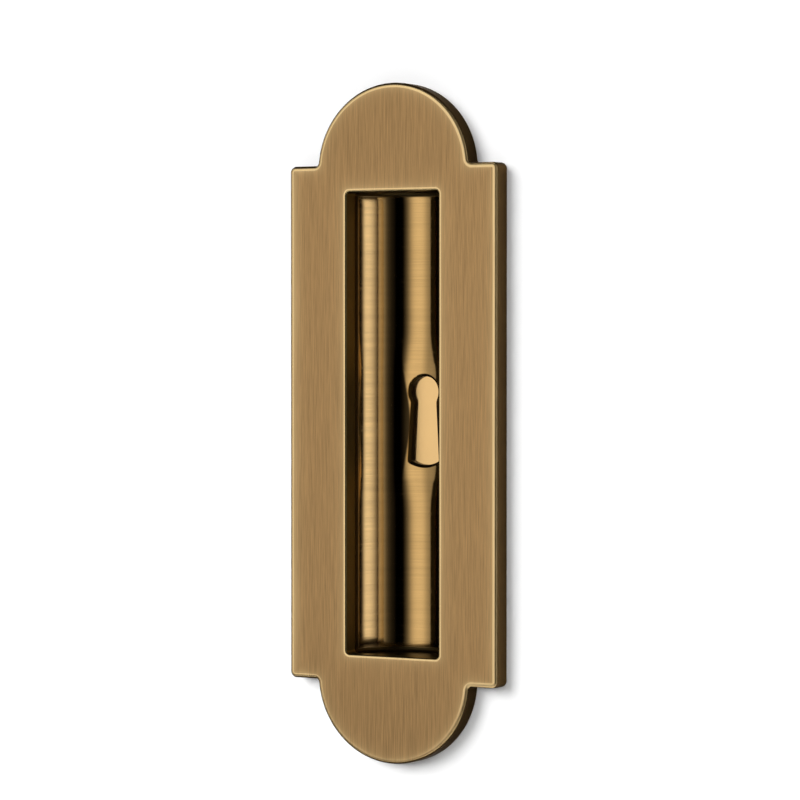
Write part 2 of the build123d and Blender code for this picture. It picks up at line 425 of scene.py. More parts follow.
class Recipe:
    """A node material or world, whose nodes all come from one method."""

    def __init__(self, owner):
        owner.use_nodes = True
        self.tree = owner.node_tree
        self.tree.nodes.clear()

    def node(self, kind, options=None, inputs=None):
        """Adds a node, sets its options, a colour ramp's stops among them, and fills its sockets
        with numbers, colours or links."""
        node = self.tree.nodes.new(kind)
        for key, setting in (options or {}).items():
            if key == "stops":
                fill_ramp(node.color_ramp, setting)
            else:
                setattr(node, key, setting)
        for key, setting in (inputs or {}).items():
            if isinstance(setting, Signal):
                setting = setting.socket
            if isinstance(setting, bpy.types.NodeSocket):
                self.tree.links.new(setting, node.inputs[key])
            else:
                node.inputs[key].default_value = setting
        return node

    def value(self, kind, options=None, inputs=None, output=0):
        """Adds a node and returns one of its outputs as a number."""
        return Signal(self, self.node(kind, options, inputs).outputs[output])

    def maths(self, operation, *values):
        """Adds a Math node on numbers or sockets."""
        inputs = dict(enumerate(values))
        return self.value("ShaderNodeMath", {"operation": operation}, inputs)

    def mix(self, mask, first, second):
        """Colour that goes from first to second as the mask goes from 0 to 1. A Mix node keeps its
        colours on the sockets 6 and 7 and on output 2."""
        colours = {6: rgba(first), 7: rgba(second)}
        node = self.node("ShaderNodeMix", {"data_type": "RGBA"}, {0: mask, **colours})
        return node.outputs[2]

    def scaled(self, tint, amount):
        """Colour, plain or from a socket, multiplied by a number."""
        node = self.node(
            "ShaderNodeVectorMath", {"operation": "SCALE"}, {"Vector": tint, "Scale": amount}
        )
        return node.outputs[0]

    def place(self):
        """Object coordinates, and each of the three as a number."""
        point = self.node("ShaderNodeTexCoord").outputs["Object"]
        split = self.node("ShaderNodeSeparateXYZ", inputs={0: point})
        return point, [Signal(self, output) for output in split.outputs]

    def noise(self, point, cells, detail=2.0, rough=0.5):
        """Noise from 0 to 1 with the given cells per metre along the three axes."""
        stretched = self.node("ShaderNodeMapping", inputs={"Vector": point, "Scale": cells})
        inputs = {
            "Vector": stretched.outputs[0],
            "Scale": 1.0,
            "Detail": detail,
            "Roughness": rough,
        }
        return self.value("ShaderNodeTexNoise", None, inputs)

    def ripple(self, point, cells, detail=2.0, rough=0.5):
        """The same noise from -0.5 to 0.5."""
        return self.noise(point, cells, detail, rough) - 0.5

    def bump(self, height, distance, strength):
        """Normal of a surface with the given height in units of distance."""
        inputs = {"Height": height, "Distance": distance, "Strength": strength}
        return self.node("ShaderNodeBump", None, inputs).outputs[0]

    def metal(self, base, roughness, normal=None, sockets=None):
        """Metal surface as the material's output."""
        inputs = {"Base Color": base, "Roughness": roughness, "Metallic": 1.0, **(sockets or {})}
        if normal is not None:
            inputs["Normal"] = normal
        surface = self.node("ShaderNodeBsdfPrincipled", None, inputs)
        self.output(surface.outputs[0])

    def output(self, surface):
        """Makes a surface the material's output."""
        self.node("ShaderNodeOutputMaterial", None, {"Surface": surface})


def rgba(tint):
    """Colour with an alpha of 1, or the socket that gives one."""
    if isinstance(tint, bpy.types.NodeSocket):
        return tint
    return (*tint, 1.0)


def fill_ramp(ramp, stops):
    """Sets a new colour ramp, which has two stops, from pairs of a place and a grey level."""
    for number, (place, level) in enumerate(stops):
        stop = ramp.elements[number] if number < 2 else ramp.elements.new(place)
        stop.position = place
        stop.color = (level, level, level, 1.0)


def new_recipe(name):
    """New material and its recipe."""
    material = bpy.data.materials.new(name)
    return material, Recipe(material)


def dress(obj, material):
    """Gives an object one material."""
    obj.data.materials.clear()
    obj.data.materials.append(material)


def smooth_step(t):
    """3 t^2 - 2 t^3 on t held between 0 and 1."""
    t = np.clip(t, 0.0, 1.0)
    return t * t * (3.0 - 2.0 * t)


def arc(centre, radius, start, end, count):
    """Points centre + radius (cos a, sin a) for count angles a from start to end, in degrees."""
    a = np.radians(np.linspace(start, end, count))
    return np.stack([centre[0] + radius * np.cos(a), centre[1] + radius * np.sin(a)], axis=1)


def line(first, last, count):
    """Evenly spaced points from first to last."""
    t = np.linspace(0.0, 1.0, count)[:, None]
    return np.asarray(first) * (1.0 - t) + np.asarray(last) * t


def joined(*stretches):
    """Stretches of points end to end, each joint's point kept once."""
    return np.concatenate([stretches[0]] + [s[1:] for s in stretches[1:]])


def resampled(points, count):
    """The same open line with count points, evenly spaced along its length."""
    steps = np.linalg.norm(np.diff(points, axis=0), axis=1)
    run = np.concatenate([[0.0], np.cumsum(steps)])
    at = np.linspace(0.0, run[-1], count)
    return np.stack([np.interp(at, run, points[:, k]) for k in (0, 1)], axis=1)


def mirrored_loop(half):
    """Closed loop from its right half, which runs from the top of x = 0 to the bottom of it."""
    return np.concatenate([half, half[-2:0:-1] * FLIP_X])


def outward(loop):
    """Unit normals of a closed loop that runs clockwise: the tangent turned left by 90 degrees."""
    tangent = np.roll(loop, -1, axis=0) - np.roll(loop, 1, axis=0)
    tangent /= np.linalg.norm(tangent, axis=1)[:, None]
    return np.stack([-tangent[:, 1], tangent[:, 0]], axis=1)


def lifted(loop, depth):
    """Front-view points (x, z) as points (x, depth, z)."""
    depth = np.broadcast_to(depth, len(loop))
    return np.stack([loop[:, 0], depth, loop[:, 1]], axis=1)


def between(first, last, fractions):
    """Loops at the given fractions of the way from one loop to another."""
    return [first * (1.0 - f) + last * f for f in fractions]


def ring_mesh(name, loops, closed=True, crease=CREASE):
    """Surface through closed loops of equally many points, each point joined to its neighbours
    along the loop and to the same point of the next loop. The last loop joins the first, or,
    if not closed, the first and the last loop are filled flat."""
    rows = np.stack(loops)
    count, size = rows.shape[:2]
    index = np.arange(count * size).reshape(count, size)
    if closed:
        near, far = index, np.roll(index, -1, axis=0)
    else:
        near, far = index[:-1], index[1:]
    quads = np.stack([near, np.roll(near, -1, axis=1), np.roll(far, -1, axis=1), far], axis=-1)
    faces = quads.reshape(-1, 4).tolist()
    if not closed:
        faces += [index[0][::-1].tolist(), index[-1].tolist()]
    mesh = bpy.data.meshes.new(name)
    mesh.from_pydata(rows.reshape(-1, 3).tolist(), [], faces)
    tidy(mesh, crease)
    piece = bpy.data.objects.new(name, mesh)
    bpy.context.collection.objects.link(piece)
    return piece


def tidy(mesh, crease):
    """Merges doubles, turns all faces outwards and marks edges sharper than the crease angle."""
    work = bmesh.new()
    work.from_mesh(mesh)
    bmesh.ops.remove_doubles(work, verts=work.verts, dist=1e-7)
    bmesh.ops.recalc_face_normals(work, faces=work.faces)
    work.to_mesh(mesh)
    work.free()
    mesh.polygons.foreach_set("use_smooth", np.ones(len(mesh.polygons), dtype=bool))
    mesh.set_sharp_from_angle(angle=math.radians(crease))


def cut(piece, cutters, crease):
    """Takes the cutters' solids out of the piece and removes them."""
    for cutter in cutters:
        modifier = piece.modifiers.new(cutter.name, "BOOLEAN")
        modifier.operation = "DIFFERENCE"
        modifier.solver = "EXACT"
        modifier.object = cutter
    graph = bpy.context.evaluated_depsgraph_get()
    mesh = bpy.data.meshes.new_from_object(piece.evaluated_get(graph))
    piece.modifiers.clear()
    piece.data = mesh
    for cutter in cutters:
        bpy.data.objects.remove(cutter)
    tidy(mesh, crease)


def place_piece(piece, slot, *nodes):
    """Attaches a finished piece to its body and hides the nodes it stands for; its material slot is not
    used.
    """
    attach(piece, BODY)
    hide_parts(*nodes)


def four_sides(top, right, bottom):
    """Closed clockwise loop from the top line (left to right), the right line (downwards) and
    the bottom line (right to left); the left line mirrors the right."""
    sides = (top, right, bottom, right[::-1] * FLIP_X)
    return np.concatenate([side[:-1] for side in sides])


def even_sides(top, right, bottom):
    """The same loop with each line resampled to a fixed count of points."""
    top, bottom = resampled(top, END_POINTS), resampled(bottom, END_POINTS)
    return four_sides(top, resampled(right, SIDE_POINTS), bottom)


def rounded_rectangle(width, height, radius, middle=0.0):
    """Loop of a rectangle with corner arcs, whose sides meet in the middle of each arc."""
    x, z = width / 2 - radius, height / 2 - radius
    top = joined(
        arc((-x, middle + z), radius, 135, 90, 9),
        arc((x, middle + z), radius, 90, 45, 9),
    )
    right = joined(
        arc((x, middle + z), radius, 45, 0, 9),
        arc((x, middle - z), radius, 0, -45, 9),
    )
    bottom = joined(
        arc((x, middle - z), radius, -45, -90, 9),
        arc((-x, middle - z), radius, -90, -135, 9),
    )
    return even_sides(top, right, bottom)


def shoulder_height(plate):
    """Height of the shoulders over the plate's middle."""
    return plate.height / 2 - plate.arch_rise


def opening_end(plate):
    """Height of the opening's end over the plate's middle."""
    return shoulder_height(plate) - plate.opening_margin


def arch_centre(plate):
    """Height of the arch's centre over the plate's middle."""
    return plate.height / 2 - plate.arch_radius


def plate_outlines(plate):
    """Clockwise loops of the plate's outline and of its opening, with matching points: what faces
    the opening's ends is the arch and the shoulder, and corners face corners."""
    half_width = PLATE_HIGH.x
    shoulder = shoulder_height(plate)
    centre = arch_centre(plate)
    foot_z = shoulder + plate.foot_radius
    reach = plate.arch_radius + plate.foot_radius
    foot_x = math.sqrt(reach**2 - (foot_z - centre) ** 2)
    foot_angle = math.degrees(math.atan2(foot_z - centre, foot_x))
    corner_x, corner_z = half_width - plate.shoulder_radius, shoulder - plate.shoulder_radius
    over = joined(
        arc((0.0, centre), plate.arch_radius, 90, foot_angle, 73),
        arc((foot_x, foot_z), plate.foot_radius, 180 + foot_angle, 270, 13),
        line((foot_x, shoulder), (corner_x, shoulder), 7),
    )
    outer = joined(
        over,
        arc((corner_x, corner_z), plate.shoulder_radius, 90, 0, 13),
        line((half_width, corner_z), (half_width, 0.0), 21),
    )
    inner_x = plate.opening_width / 2
    inner_z = opening_end(plate)
    inner_corner_x = inner_x - plate.opening_radius
    inner_corner_z = inner_z - plate.opening_radius
    across = over[:, 0] * inner_corner_x / corner_x
    inner = joined(
        np.stack([across, np.full(len(across), inner_z)], axis=1),
        arc((inner_corner_x, inner_corner_z), plate.opening_radius, 90, 0, 13),
        line((inner_x, inner_corner_z), (inner_x, 0.0), 21),
    )
    return [mirrored_loop(joined(upper, upper[::-1] * FLIP_Z)) for upper in (outer, inner)]


def plate_surface(plate):
    """Face plate as one profile carried round the opening: forward over the side wall, round the
    front edge, across the face, round the opening's edge, through the opening and over the back."""
    outer, inner = plate_outlines(plate)
    outer_side, inner_side = outward(outer), outward(inner)
    front, back = PLATE_LOW.y, PLATE_HIGH.y
    loops = [lifted(outer, back)]
    edge = plate.edge_radius
    loops.append(lifted(outer, front + edge + EDGE_SUPPORT))
    for turn in FILLET_TURNS:
        inset = edge * (1.0 - math.cos(turn))
        loops.append(lifted(outer - inset * outer_side, front + edge * (1.0 - math.sin(turn))))
    rim = plate.opening_edge
    first = lifted(outer - (edge + EDGE_SUPPORT) * outer_side, front)
    last = lifted(inner + (rim + EDGE_SUPPORT) * inner_side, front)
    loops += between(first, last, FACE_RINGS)
    for turn in FILLET_TURNS:
        inset = rim * (1.0 - math.sin(turn))
        loops.append(lifted(inner + inset * inner_side, front + rim * (1.0 - math.cos(turn))))
    loops.append(lifted(inner, front + rim + EDGE_SUPPORT))
    loops.append(lifted(inner, back - plate.opening_bevel))
    loops.append(lifted(inner + plate.opening_bevel * inner_side, back))
    return ring_mesh("face_plate_brass", loops)


def meeting_point(start, direction, offset, centre, distance):
    """Point beside a line, by offset to the left of its direction, and away from centre by
    distance: of the two such points, the one further along."""
    side = np.array([-direction[1], direction[0]])
    foot = np.asarray(start) + offset * side - np.asarray(centre)
    along = foot @ direction
    run = -along + math.sqrt(along**2 - foot @ foot + distance**2)
    return foot + run * direction + np.asarray(centre)


def bearing(first, last):
    """Angle in degrees of the direction from one point to another."""
    return math.degrees(math.atan2(last[1] - first[1], last[0] - first[0]))


def keyhole_outline(key):
    """Loop of the keyhole: round head, hollow waist, straight flanks and a bowed foot."""
    head = np.array([0.0, key.head_height])
    waist = np.array([key.waist_width / 2, key.head_height])
    foot = np.array([key.foot_width / 2, key.foot_height])
    flank = (foot - waist) / np.linalg.norm(foot - waist)
    hollow_reach = key.head_radius + key.waist_radius
    hollow = meeting_point(waist, flank, key.waist_radius, head, hollow_reach)
    bow_radius = (foot[0] ** 2 + key.foot_bow**2) / (2 * key.foot_bow)
    bow = np.array([0.0, key.foot_height - key.foot_bow + bow_radius])
    corner = meeting_point(waist, flank, -key.foot_radius, bow, bow_radius - key.foot_radius)
    flank_side = math.degrees(math.atan2(flank[0], -flank[1]))
    head_end = bearing(head, hollow)
    bow_end = bearing(bow, corner)
    corner_middle = (flank_side + bow_end) / 2
    top = arc(head, key.head_radius, 180 - HEAD_CORNER, HEAD_CORNER, 41)
    right = joined(
        arc(head, key.head_radius, HEAD_CORNER, head_end, 41),
        arc(hollow, key.waist_radius, 180 + head_end, 180 + flank_side, 21),
        arc(corner, key.foot_radius, flank_side, corner_middle, 9),
    )
    half_bottom = joined(
        arc(corner, key.foot_radius, corner_middle, bow_end, 9),
        arc(bow, bow_radius, bow_end, -90, 21),
    )
    return even_sides(top, right, joined(half_bottom, half_bottom[::-1] * FLIP_X))


class Trough:
    """Half-round surface with rounded ends and flat end walls, cut off by the plane y = front.
    Its coordinates are across, from -1 to 1 round the section between the two cut edges, and
    along, a length that runs up the floor, round the end's fillet and forward over the end wall."""

    def __init__(self, radius, half_length, end_radius, axis_y, front, rise=None):
        self.radius = radius
        self.half_length = half_length
        self.end_radius = end_radius
        self.axis_y = axis_y
        self.front = front
        self.rise = rise
        self.floor_end = half_length - end_radius
        self.fillet_end = self.floor_end + end_radius * math.pi / 2
        self.wall_end = self.fillet_end + radius

    def depth(self, x, z):
        """Depth of the floor at a place of the front view: the circle's, less the landing's."""
        y = self.axis_y + np.sqrt(self.radius**2 - x**2)
        return y if self.rise is None else y - self.rise(x, z)

    def coordinates(self, loop):
        """Trough coordinates of front-view points on the floor."""
        limit = math.acos((self.front - self.axis_y) / self.radius)
        return np.stack([np.arcsin(loop[:, 0] / self.radius) / limit, loop[:, 1]], axis=1)

    def points(self, loop):
        """Points in space of a loop in trough coordinates."""
        across, along = loop[:, 0], loop[:, 1]
        run = np.abs(along)
        turn = np.clip(run - self.floor_end, 0.0, self.end_radius * math.pi / 2) / self.end_radius
        wall = np.clip(run - self.fillet_end, 0.0, self.radius) / self.radius
        reach = self.radius - self.end_radius * (1.0 - np.cos(turn))
        round_angle = across * np.arccos((self.front - self.axis_y) / reach)
        x = reach * np.sin(round_angle)
        z = np.sign(along) * (np.minimum(run, self.floor_end) + self.end_radius * np.sin(turn))
        y = self.axis_y + reach * np.cos(round_angle)
        if self.rise is not None:
            y = y - self.rise(x, z)
        y = y * (1.0 - wall) + self.front * wall
        return np.stack([x, y, z], axis=1)

    def rectangle(self, across, along):
        """Rectangle in trough coordinates. Past the floor's end, a few points of each side share the
        end's fillet, and the corner alone lies on the end wall."""
        if along > self.floor_end:
            side = min(along, self.fillet_end)
            last = SIDE_POINTS - 1
            marks = [0, CORNER_POINTS, last - CORNER_POINTS, last]
            places = [side, self.floor_end, -self.floor_end, -side]
            run = np.interp(np.arange(SIDE_POINTS), marks, places)
            run[[0, last]] = along, -along
        else:
            run = np.linspace(along, -along, SIDE_POINTS)
        top = line((-across, along), (across, along), END_POINTS)
        right = np.stack([np.full(SIDE_POINTS, across), run], axis=1)
        return four_sides(top, right, top[::-1] * FLIP_Z)

    def loops(self, inner, across, along, floor_across, fillet_across, count):
        """Loops from an inner loop out to the cut edges. First come rectangles whose half sides grow
        from across and along to floor_across and the floor's end. Those round the end fillets grow
        on to fillet_across, from a little wider than the last, so that no strip is without width,
        and those over the end walls grow to the whole section."""
        rings = [inner, *between(inner, self.rectangle(across, along), INNER_RINGS)]
        widths = np.linspace(across, floor_across, count)
        lengths = np.linspace(along, self.floor_end - EDGE_SUPPORT, count)
        rings += [self.rectangle(width, length) for width, length in zip(widths, lengths)]
        for step in FILLET_STEPS:
            grown = FILLET_START + (1.0 - FILLET_START) * step
            width = floor_across + (fillet_across - floor_across) * grown
            length = self.floor_end + (self.fillet_end - self.floor_end) * step
            rings.append(self.rectangle(width, length))
        for step in WALL_RINGS:
            width = fillet_across + (1.0 - fillet_across) * step
            length = self.fillet_end + (self.wall_end - self.fillet_end) * step
            rings.append(self.rectangle(width, length))
        return [self.points(ring) for ring in rings]


def landing(pocket):
    """Rise of the floor round the keyhole: a smooth step along the trough times a bell across."""

    def rise(x, z):
        reach = pocket.landing_reach - np.abs(z - BACKING_MIDDLE)
        bell = np.exp(-((x / pocket.landing_width) ** 2))
        return pocket.landing_rise * smooth_step(reach / pocket.landing_ramp) * bell

    return rise


def trough_size(plate, pocket):
    """Radius and half length of the trough, from the opening in front of it."""
    return plate.opening_width / 2 + pocket.side_setback, opening_end(plate) + pocket.end_setback


def troughs(plate, pocket):
    """The trough up to its mouth, and the shell behind it up to the back of the flange."""
    radius, half_length = trough_size(plate, pocket)
    mouth = POCKET_LOW.y
    inside = Trough(
        radius, half_length, pocket.floor_radius, pocket.axis_depth, mouth, landing(pocket)
    )
    shell = Trough(
        radius + pocket.wall,
        half_length + pocket.wall,
        pocket.outer_radius,
        pocket.axis_depth,
        mouth + pocket.flange_thickness,
    )
    return inside, shell


def boss_loop(margin):
    """Outline of the recess for the backing plate, wider by a margin all round."""
    width = BACKING_HIGH.x - BACKING_LOW.x + 2 * (RECESS_CLEARANCE + margin)
    height = BACKING_HIGH.z - BACKING_LOW.z + 2 * (RECESS_CLEARANCE + margin)
    return rounded_rectangle(width, height, RECESS_RADIUS + margin, BACKING_MIDDLE)


def flange_loop(inset, pocket):
    """Outline of the flange, smaller by an inset all round."""
    width, height = 2 * (POCKET_HIGH.x - inset), 2 * (POCKET_HIGH.z - inset)
    return rounded_rectangle(width, height, pocket.flange_radius - inset)


def pocket_surface(plate, pocket, key):
    """Pocket as one profile carried round the keyhole: out over the trough to its mouth, round
    the flange, back over the shell to the boss, and into the recess for the backing plate."""
    inside, shell = troughs(plate, pocket)
    mouth, flange_back = inside.front, shell.front
    seat, boss_back = BACKING_LOW.y, POCKET_HIGH.y
    hole = keyhole_outline(key)
    rim = hole + key.bevel * outward(hole)
    edge = inside.depth(rim[:, 0], rim[:, 1])
    loops = [lifted(hole, seat), lifted(hole, edge + key.bevel)]
    loops += between(loops[-1], lifted(rim, edge), BEVEL_RINGS)
    loops += inside.loops(inside.coordinates(rim), **FLOOR_RINGS)
    flange = flange_loop(0.0, pocket)
    loops += [lifted(flange, mouth), lifted(flange, flange_back - FLANGE_BEVEL)]
    loops.append(lifted(flange_loop(FLANGE_BEVEL, pocket), flange_back))
    foot = shell.coordinates(boss_loop(BOSS_RIM))
    loops += shell.loops(foot, **SHELL_RINGS)[::-1]
    for turn in FILLET_TURNS:
        boss = boss_loop(BOSS_RIM - BOSS_EDGE * (1.0 - math.cos(turn)))
        loops.append(lifted(boss, boss_back - BOSS_EDGE * (1.0 - math.sin(turn))))
    recess = boss_loop(0.0)
    loops += [lifted(recess, boss_back), lifted(recess, seat)]
    piece = ring_mesh("pocket_brass", loops, crease=POCKET_CREASE)
    cut(piece, [countersink(node) for node in FLANGE_SCREWS], POCKET_CREASE)
    return piece


def turned(name, profile, middle, crease=CREASE):
    """Closed solid round the line along Y through middle, from pairs of a radius and a y. A radius
    may be one number, or one for each point of its circle."""
    circle = np.stack([np.sin(CIRCLE_TURNS), np.cos(CIRCLE_TURNS)], axis=1)
    rings = [(np.broadcast_to(radius, len(circle)), y) for radius, y in profile]
    loops = [lifted(middle + radii[:, None] * circle, y) for radii, y in rings]
    return ring_mesh(name, loops, closed=False, crease=crease)


def round_node(node):
    """Middle (x, z) and radius of a CAD node that is turned about Y, and its two ends along Y."""
    low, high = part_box(node)
    middle = np.array([(low.x + high.x) / 2, (low.z + high.z) / 2])
    return middle, (high.x - low.x) / 2, low.y, high.y


def countersink(node):
    """Cut for a countersunk screw: a cylinder over a cone, a little larger than the head."""
    middle, radius, tip, back = round_node(node)
    head = radius + HEAD_CLEARANCE
    shank = head - HEAD_CONE
    profile = [(shank, tip), (shank, back - HEAD_CONE), (head, back), (head, back + HEAD_CONE)]
    return turned(f"cut_{node}", profile, middle)


def stud_surface(node, fixing):
    """Threaded stud: radius less the thread's depth times a wave with rounded crests and roots, of
    y over the pitch less the turn round the axis, which is a helix. It is plain next to the plate
    and bevelled at the tip."""
    middle, radius, spigot_end, tip = round_node(node)
    plate_back = 0.0
    thread_start = plate_back + fixing.plain_length
    profile = [
        (fixing.spigot_radius, spigot_end),
        (fixing.spigot_radius, plate_back),
        (radius, plate_back),
    ]
    rows = int((tip - thread_start) / fixing.pitch * THREAD_ROWS)
    for y in np.linspace(thread_start, tip, rows):
        phase = (y / fixing.pitch - CIRCLE_TURNS / (2 * math.pi)) % 1.0
        wave = smooth_step(1.5 * np.abs(2.0 * phase - 1.0) - 0.25)
        onset = smooth_step((y - thread_start) / fixing.pitch)
        bevelled = radius - max(0.0, y - tip + fixing.tip_bevel)
        profile.append((np.minimum(radius - fixing.thread_depth * onset * wave, bevelled), y))
    return turned(f"{node}_steel", profile, middle, THREAD_CREASE)


def past_corner(first, second, radius):
    """Distance past two edges that meet in a rounded corner, from the distance past each of them,
    negative on the near side of both."""
    first, second = first + radius, second + radius
    past_both = (first.most(0.0).power(2.0) + second.most(0.0).power(2.0)).power(0.5)
    return past_both + first.most(second).least(0.0) - radius


def plate_edges(plate, place):
    """Two distances over the plate's face: inwards from its outline, which is a rectangle joined
    to two arches, and outwards from the opening's rectangle."""
    across, up = abs(place[0]), abs(place[2])
    over_centre = up - arch_centre(plate)
    arch = plate.arch_radius - (across * across + over_centre * over_centre).power(0.5)
    past_side, past_shoulder = across - PLATE_HIGH.x, up - shoulder_height(plate)
    body = -past_corner(past_side, past_shoulder, plate.shoulder_radius)
    past_jamb, past_end = across - plate.opening_width / 2, up - opening_end(plate)
    opening = past_corner(past_jamb, past_end, plate.opening_radius)
    return past_corner(body, arch, plate.foot_radius), opening


def edge_wear_and_highlight(plate, place, edge, right, broad, patches):
    """Shares of metal bright from wear and of painted highlight, by the distance from the nearest
    rounded edge: a line of wear that is painted highlight too, wider at the right and dimmed low down
    as painted shade, and a painted highlight that glows from the edges onto the face and is stronger at
    the left."""
    x, _, z = place
    # Painted shade: the edge line is dimmed towards the plate's foot.
    above_foot = z.ramp(-plate.height / 2, 10.0 * MM - shoulder_height(plate))
    kept = EDGE_LINE_AT_SHADED_FOOT + (1.0 - EDGE_LINE_AT_SHADED_FOOT) * above_foot
    width = plate.bare_and_highlight_width * (1.0 + 0.6 * right)
    bare_and_highlight = edge.ramp(0.9 * width, 0.3 * width)
    bare_and_highlight = (bare_and_highlight * kept * (1.15 + 1.4 * patches + 0.6 * broad)).least(1.0)
    # Painted highlight: a glow fades from the edges onto the face, stronger at the left.
    glow = 0.32 * edge.fade(plate.wear_and_highlight_width) + 0.24 * edge.fade(3.5 * plate.wear_and_highlight_width)
    glow = glow + 0.25 * x.ramp(*LEFT_BORDER) * edge.fade(3.0 * plate.wear_and_highlight_width)
    return bare_and_highlight, (glow * (1.0 + 1.2 * patches + 0.8 * broad)).most(bare_and_highlight)


def face_brass(plate):
    """Brushed brass: fine upright brushing in two tones, metal bright from wear along the edges with a
    painted highlight that glows from them onto the face, dark patina on the walls behind them, darkened
    further on the arches and shoulders as painted shade, and the opening's right wall rubbed bright.
    The face is a little darker towards the top and bottom."""
    material, make = new_recipe("face_brass")
    point, place = make.place()
    x, y, z = place
    fine = make.ripple(point, FINE_BRUSHING, rough=0.6)
    broad = make.ripple(point, BROAD_BRUSHING)
    tint = make.noise(point, TINT_BRUSHING).ramp(0.3, 0.7)
    patches = make.ripple(point, FACE_PATCHES)

    outline, opening = plate_edges(plate, place)
    edge = (outline - plate.edge_radius).least(opening - plate.opening_edge)
    # Painted highlight: on the right the edge line is wider, and the walls' dark colour starts further
    # round the edge.
    right = x.ramp(*RIGHT_HALF) * outline.ramp(*OUTLINE_BAND)
    bare_and_highlight, wear_and_highlight = edge_wear_and_highlight(plate, place, edge, right, broad, patches)
    depth = y - PLATE_LOW.y
    thickness = PLATE_HIGH.y - PLATE_LOW.y
    walls = (depth - 0.25 * MM * right).ramp(*WALL_DEPTH)
    inner = opening.ramp(*OPENING_BAND) * walls
    jamb = plate.opening_width / 2
    rubbed = inner * x.ramp(jamb - 0.5 * MM, jamb - 0.2 * MM) * depth.ramp(*RUBBED_DEPTH)
    back = depth.ramp(thickness - 0.1 * MM, thickness)
    shoulder = shoulder_height(plate)
    # Painted shade: the walls over the arches and at the shoulders' ends get a darker patina.
    ends = abs(z).ramp(shoulder - 1.2 * MM, shoulder - 0.2 * MM)

    tone = 1.02 - 0.08 * abs(z).ramp(*ARCH_HEIGHT) + 1.1 * fine + 0.2 * broad + 0.2 * patches
    base = make.scaled(make.mix(tint, plate.streak_colour, plate.face_colour), tone)
    base = make.mix(wear_and_highlight, base, plate.wear_and_highlight_colour)
    base = make.mix(walls, base, make.scaled(plate.patina_and_shade_colour, 1.0 - 0.65 * ends))
    base = make.mix(inner, base, plate.inner_colour)
    base = make.mix(rubbed, base, plate.rubbed_colour)
    base = make.mix(back, base, plate.back_colour)
    polish = (bare_and_highlight * (1.0 - walls)).most(rubbed)
    roughness = plate.roughness + 0.25 * fine + 0.1 * patches + 0.12 * right * bare_and_highlight
    roughness = roughness + polish * (plate.worn_roughness - plate.roughness)
    brushing = (fine + 0.4 * broad) * (1.0 - bare_and_highlight)
    normal = make.bump(brushing, distance=0.008 * MM, strength=0.6)
    make.metal(base, roughness, normal, {"Specular Tint": rgba(SPECULAR_TINT)})
    return material


def keyhole_shade(x, along):
    """Painted shade beside the keyhole: a dark band on each side of the floor, from a bowed inner line
    that comes nearest to the middle of the trough where along is 0."""
    across = abs(x)
    inner_line = SHADE_LINE - SHADE_BOW * (along * along).fade(SHADE_BOW_LENGTH**2)
    band = (across - inner_line).ramp(*SHADE_START) * across.ramp(*SHADE_END)
    return band * abs(along).ramp(*SHADE_LENGTH)


def pocket_brass(plate, pocket):
    """Polished brass with faint turned lines across the trough, sides whose paler tone is polish and
    painted highlight, a darker streak along its floor that is painted shade, painted shade beside the
    keyhole, and a dark colour on the left lip, on the ends and on all that lies deeper than the
    trough's own surface: patina on the back, and painted shade on the lip, the ends and the keyhole's
    bevel and walls."""
    material, make = new_recipe("pocket_brass")
    point, (x, y, z) = make.place()
    lines = make.ripple(point, TURNED_LINES, detail=3.0, rough=0.7)
    bands = make.ripple(point, TURNED_BANDS)
    patches = make.ripple(point, POCKET_PATCHES)
    scratch = make.noise(point, SCRATCHES, detail=0.0).ramp(0.68, 0.76)

    radius, end = trough_size(plate, pocket)
    along = z - BACKING_MIDDLE
    raised = abs(along).ramp(pocket.landing_reach, pocket.landing_reach - pocket.landing_ramp)
    bell = (x * x).fade(pocket.landing_width**2)
    surface = pocket.axis_depth + (radius**2 - x * x).most(0.0).power(0.5)
    surface = surface - pocket.landing_rise * raised * bell
    # Painted shade: the keyhole's bevel and walls, the trough's ends and the left lip take the dark
    # colour, as does the back behind the trough.
    deeper = (y - surface).ramp(*BEHIND_FLOOR)
    ends = abs(z).ramp(end - 1.20 * pocket.floor_radius, end - 0.90 * pocket.floor_radius)
    lip = y.ramp(pocket.lip, 0.7 * pocket.lip) * x.ramp(*LEFT_LIP)
    dark = deeper.most(ends).most(lip)

    # Polish and painted highlight: the sides take a paler colour, the pale tone of their bright
    # reflection.
    flanks = x.ramp(*RIGHT_FLANK).most(x.ramp(*LEFT_FLANK))
    # Painted shade: a darker streak along the floor.
    shade_streak = abs(x - pocket.shade_streak_place).ramp(*SHADE_STREAK_SPREAD)
    tone = (1.0 + 0.4 * lines + 0.2 * bands + 0.12 * patches) * (1.0 - 0.42 * shade_streak)
    # Painted shade: the floor beside the keyhole is darkened almost to black.
    tone = tone * (1.0 - 0.93 * keyhole_shade(x, along))
    base = make.scaled(make.mix(flanks, pocket.floor_colour, pocket.side_colour), tone)
    base = make.mix(dark, base, pocket.patina_and_shade_colour)
    roughness = pocket.roughness + 0.05 * bands + 0.04 * scratch + 0.35 * dark
    turning = lines + 0.5 * bands + 0.15 * scratch
    normal = make.bump(turning, distance=0.004 * MM, strength=0.6)
    make.metal(base, roughness, normal)
    return material


def satin_metal(name, tint, roughness):
    """Satin metal with fine even grain and soft patches of tone."""
    material, make = new_recipe(name)
    point, _ = make.place()
    fine = make.noise(point, SATIN_GRAIN, detail=3.0, rough=0.6)
    patches = make.noise(point, SATIN_PATCHES)
    base = make.scaled(tint, 0.92 + 0.08 * fine + 0.08 * patches)
    normal = make.bump(fine, distance=0.002 * MM, strength=0.4)
    make.metal(base, roughness + 0.1 * (fine - 0.5), normal)
    return material


